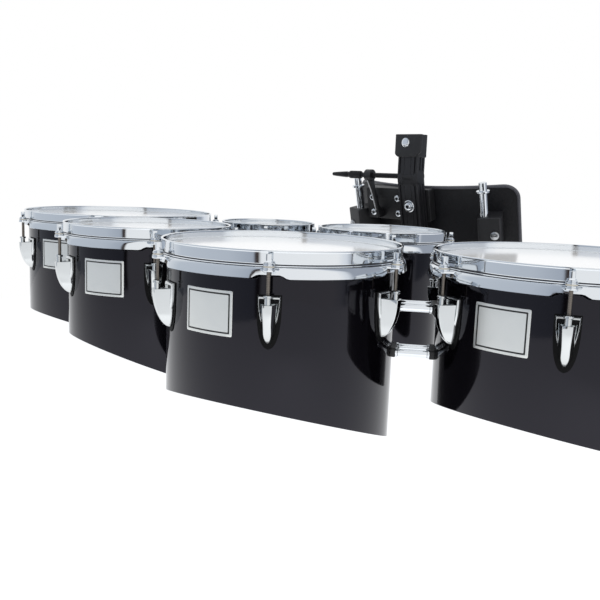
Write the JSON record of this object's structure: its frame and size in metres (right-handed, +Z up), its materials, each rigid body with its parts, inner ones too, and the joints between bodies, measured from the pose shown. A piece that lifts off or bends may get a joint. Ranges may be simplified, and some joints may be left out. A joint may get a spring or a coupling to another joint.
{
  "type": "marching tenor drums",
  "caption": "Marching tenor drums: cut-away single-headed drums with chrome hoops and lugs on a tube rack, hooked to a belly-plate carrier with a tilting post.",
  "frame": {"origin": "centre of the flat top of the post sleeve, where a shoulder harness bolts on", "axes": "+X to the right as the audience sees it, along the row of drums; -Y toward the audience, +Y toward the wearer; +Z up"},
  "size_m": [1.3347, 0.8327, 0.4777],
  "materials": {
    "lacquered_wood": "high-gloss black lacquer",
    "head_film": "smooth white film",
    "chrome_steel": "polished chrome plate",
    "chrome_lug": "polished chrome plate on a die casting",
    "black_aluminium": "satin black coat",
    "black_steel": "black oxide",
    "black_plastic": "moulded black",
    "foam": "matt black foam with a cloth face"
  },
  "bodies": {
    "sleeve": {"sleeve": "black_aluminium"},
    "post": {"post_upper": "black_aluminium"},
    "belly": {"post_lower": "black_aluminium", "tilt_bracket": "black_aluminium", "belly_plate": "black_aluminium", "belly_pad": "foam", "socket_left": "black_plastic", "socket_right": "black_plastic"},
    "tilt_screw": {"tilt_screw": "black_steel"},
    "hook_bars": {"hook_bar_left": "chrome_steel", "hook_bar_right": "chrome_steel"},
    "drums": {"shell_a": "lacquered_wood", "head_a": "head_film", "lug_a1": "chrome_lug", "lug_a2": "chrome_lug", "lug_a3": "chrome_lug", "lug_a4": "chrome_lug", "lug_a5": "chrome_lug", "lug_a6": "chrome_lug", "lug_a7": "chrome_lug", "shell_b": "lacquered_wood", "head_b": "head_film", "lug_b1": "chrome_lug", "lug_b2": "chrome_lug", "lug_b3": "chrome_lug", "lug_b4": "chrome_lug", "lug_b5": "chrome_lug", "shell_c": "lacquered_wood", "head_c": "head_film", "lug_c1": "chrome_lug", "lug_c2": "chrome_lug", "lug_c3": "chrome_lug", "lug_c4": "chrome_lug", "lug_c5": "chrome_lug", "lug_c6": "chrome_lug", "shell_d": "lacquered_wood", "head_d": "head_film", "lug_d1": "chrome_lug", "lug_d2": "chrome_lug", "lug_d3": "chrome_lug", "lug_d4": "chrome_lug", "lug_d5": "chrome_lug", "lug_d6": "chrome_lug", "lug_d7": "chrome_lug", "shell_e": "lacquered_wood", "head_e": "head_film", "shell_f": "lacquered_wood", "head_f": "head_film", "bridge_ab": "chrome_steel", "bridge_bc": "chrome_steel", "bridge_cd": "chrome_steel", "bridge_be": "chrome_steel", "bridge_cf": "chrome_steel", "rear_rack": "chrome_steel"},
    "counterhoop_a": {"counterhoop_a": "chrome_steel"},
    "counterhoop_b": {"counterhoop_b": "chrome_steel"},
    "counterhoop_c": {"counterhoop_c": "chrome_steel"},
    "counterhoop_d": {"counterhoop_d": "chrome_steel"},
    "counterhoop_e": {"counterhoop_e": "chrome_steel"},
    "counterhoop_f": {"counterhoop_f": "chrome_steel"}
  },
  "joints": [
    {"name": "post_height", "type": "slide", "parent": "sleeve", "child": "post", "axis": [0, 0, 1], "range_m": [-0.03, 0]},
    {"name": "belly_tilt", "type": "hinge", "parent": "post", "child": "belly", "pos_m": [0, 0, -0.08], "axis": [1, 0, 0], "range_deg": [-8, 10]},
    {"name": "tilt_screw_turn", "type": "hinge", "parent": "belly", "child": "tilt_screw", "pos_m": [0, 0, -0.08], "axis": [1, 0, 0], "continuous": true},
    {"name": "hook_bar_height", "type": "slide", "parent": "belly", "child": "hook_bars", "axis": [0, -0.2419, 0.9703], "range_m": [-0.045, 0.008]},
    {"name": "drums_lift_off", "type": "slide", "parent": "hook_bars", "child": "drums", "axis": [0, 0, 1], "range_m": [0, 0.06]},
    {"name": "counterhoop_a_lift", "type": "slide", "parent": "drums", "child": "counterhoop_a", "axis": [0, 0, 1], "range_m": [0, 0.03]},
    {"name": "counterhoop_b_lift", "type": "slide", "parent": "drums", "child": "counterhoop_b", "axis": [0, 0, 1], "range_m": [0, 0.03]},
    {"name": "counterhoop_c_lift", "type": "slide", "parent": "drums", "child": "counterhoop_c", "axis": [0, 0, 1], "range_m": [0, 0.03]},
    {"name": "counterhoop_d_lift", "type": "slide", "parent": "drums", "child": "counterhoop_d", "axis": [0, 0, 1], "range_m": [0, 0.03]},
    {"name": "counterhoop_e_lift", "type": "slide", "parent": "drums", "child": "counterhoop_e", "axis": [0, 0, 1], "range_m": [0, 0.03]},
    {"name": "counterhoop_f_lift", "type": "slide", "parent": "drums", "child": "counterhoop_f", "axis": [0, 0, 1], "range_m": [0, 0.03]}
  ]
}
